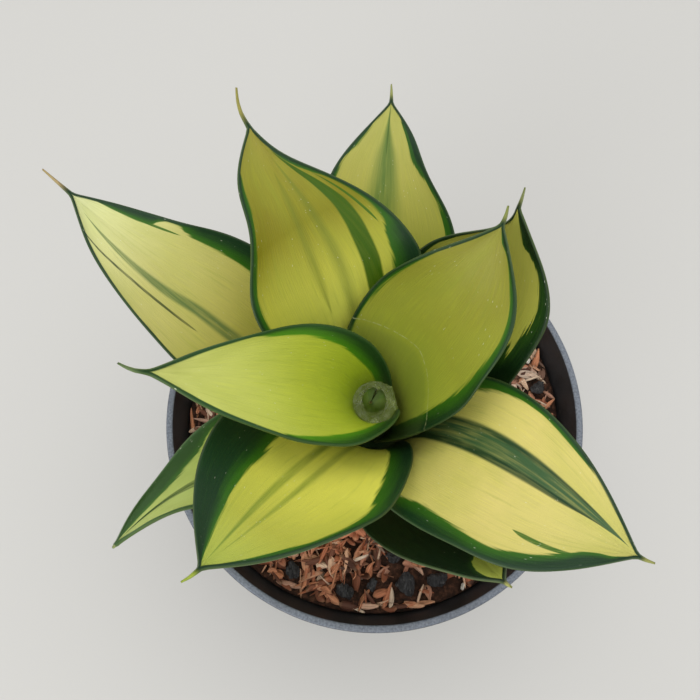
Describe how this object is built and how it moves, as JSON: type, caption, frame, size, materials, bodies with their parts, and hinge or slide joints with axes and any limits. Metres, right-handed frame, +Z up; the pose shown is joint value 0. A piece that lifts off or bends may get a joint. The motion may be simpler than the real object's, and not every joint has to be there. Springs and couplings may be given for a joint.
{
  "type": "potted snake plant",
  "caption": "Dwarf snake plant: a rosette of broad pointed leaves with spike tips, growing from husk mulch in a round tapered nursery pot that stands on a flat base.",
  "frame": {"origin": "centre of the pot's flat underside, on the surface that it stands on", "axes": "+Z up along the pot's axis; +X to the right and +Y away from a person who stands in front, with the open patch of mulch towards them at -Y"},
  "size_m": [0.1613, 0.1558, 0.2242],
  "materials": {
    "pot_plastic": "satin",
    "potting_mix": "matte",
    "husk": "matte",
    "crown": "satin",
    "leaf": "satin",
    "charcoal": "matte",
    "grit": "matte"
  },
  "bodies": {
    "root": {"pot": "pot_plastic", "potting_mix": "potting_mix", "husk_mulch": "husk", "crown": "crown", "young_rolled_leaf": "leaf", "leaf_01": "leaf", "leaf_02": "leaf", "leaf_03": "leaf", "leaf_04": "leaf", "leaf_05": "leaf", "leaf_06": "leaf", "leaf_07": "leaf", "leaf_08": "leaf", "leaf_09": "leaf", "leaf_10": "leaf", "charcoal_lump_1": "charcoal", "charcoal_lump_2": "charcoal", "charcoal_lump_3": "charcoal", "charcoal_lump_4": "charcoal", "charcoal_lump_5": "charcoal", "charcoal_lump_6": "charcoal", "charcoal_lump_7": "charcoal", "charcoal_lump_8": "charcoal", "grit_1": "grit", "grit_2": "grit"}
  },
  "joints": []
}
